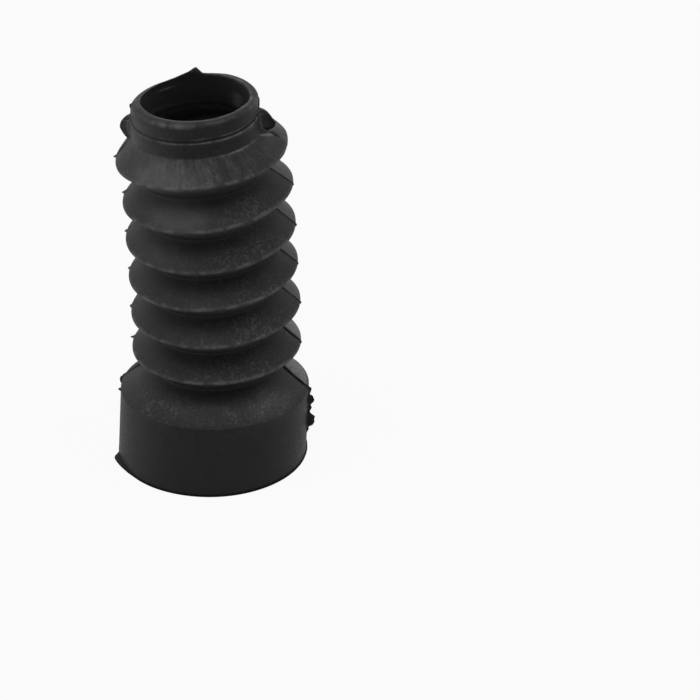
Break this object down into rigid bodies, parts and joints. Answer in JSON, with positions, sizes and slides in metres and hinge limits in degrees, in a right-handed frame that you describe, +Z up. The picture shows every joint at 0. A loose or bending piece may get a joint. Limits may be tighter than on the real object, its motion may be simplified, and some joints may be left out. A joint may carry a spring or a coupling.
{
  "type": "fork gaiter",
  "caption": "Black rubber fork gaiter: a folded bellows with a beaded neck for the fork tube, a sloping shoulder and a wide plain cuff.",
  "frame": {"origin": "middle of the part's box at the height of the open mouth's rim, which stands on Z = 0", "axes": "+Z up from the wide mouth to the neck, square to the mouth's rim; the mould's parting plane, with the two ears, is the XZ plane"},
  "size_m": [0.0555, 0.0544, 0.1157],
  "materials": {
    "rubber": "matte"
  },
  "bodies": {
    "root": {"gaiter": "rubber"}
  },
  "joints": []
}
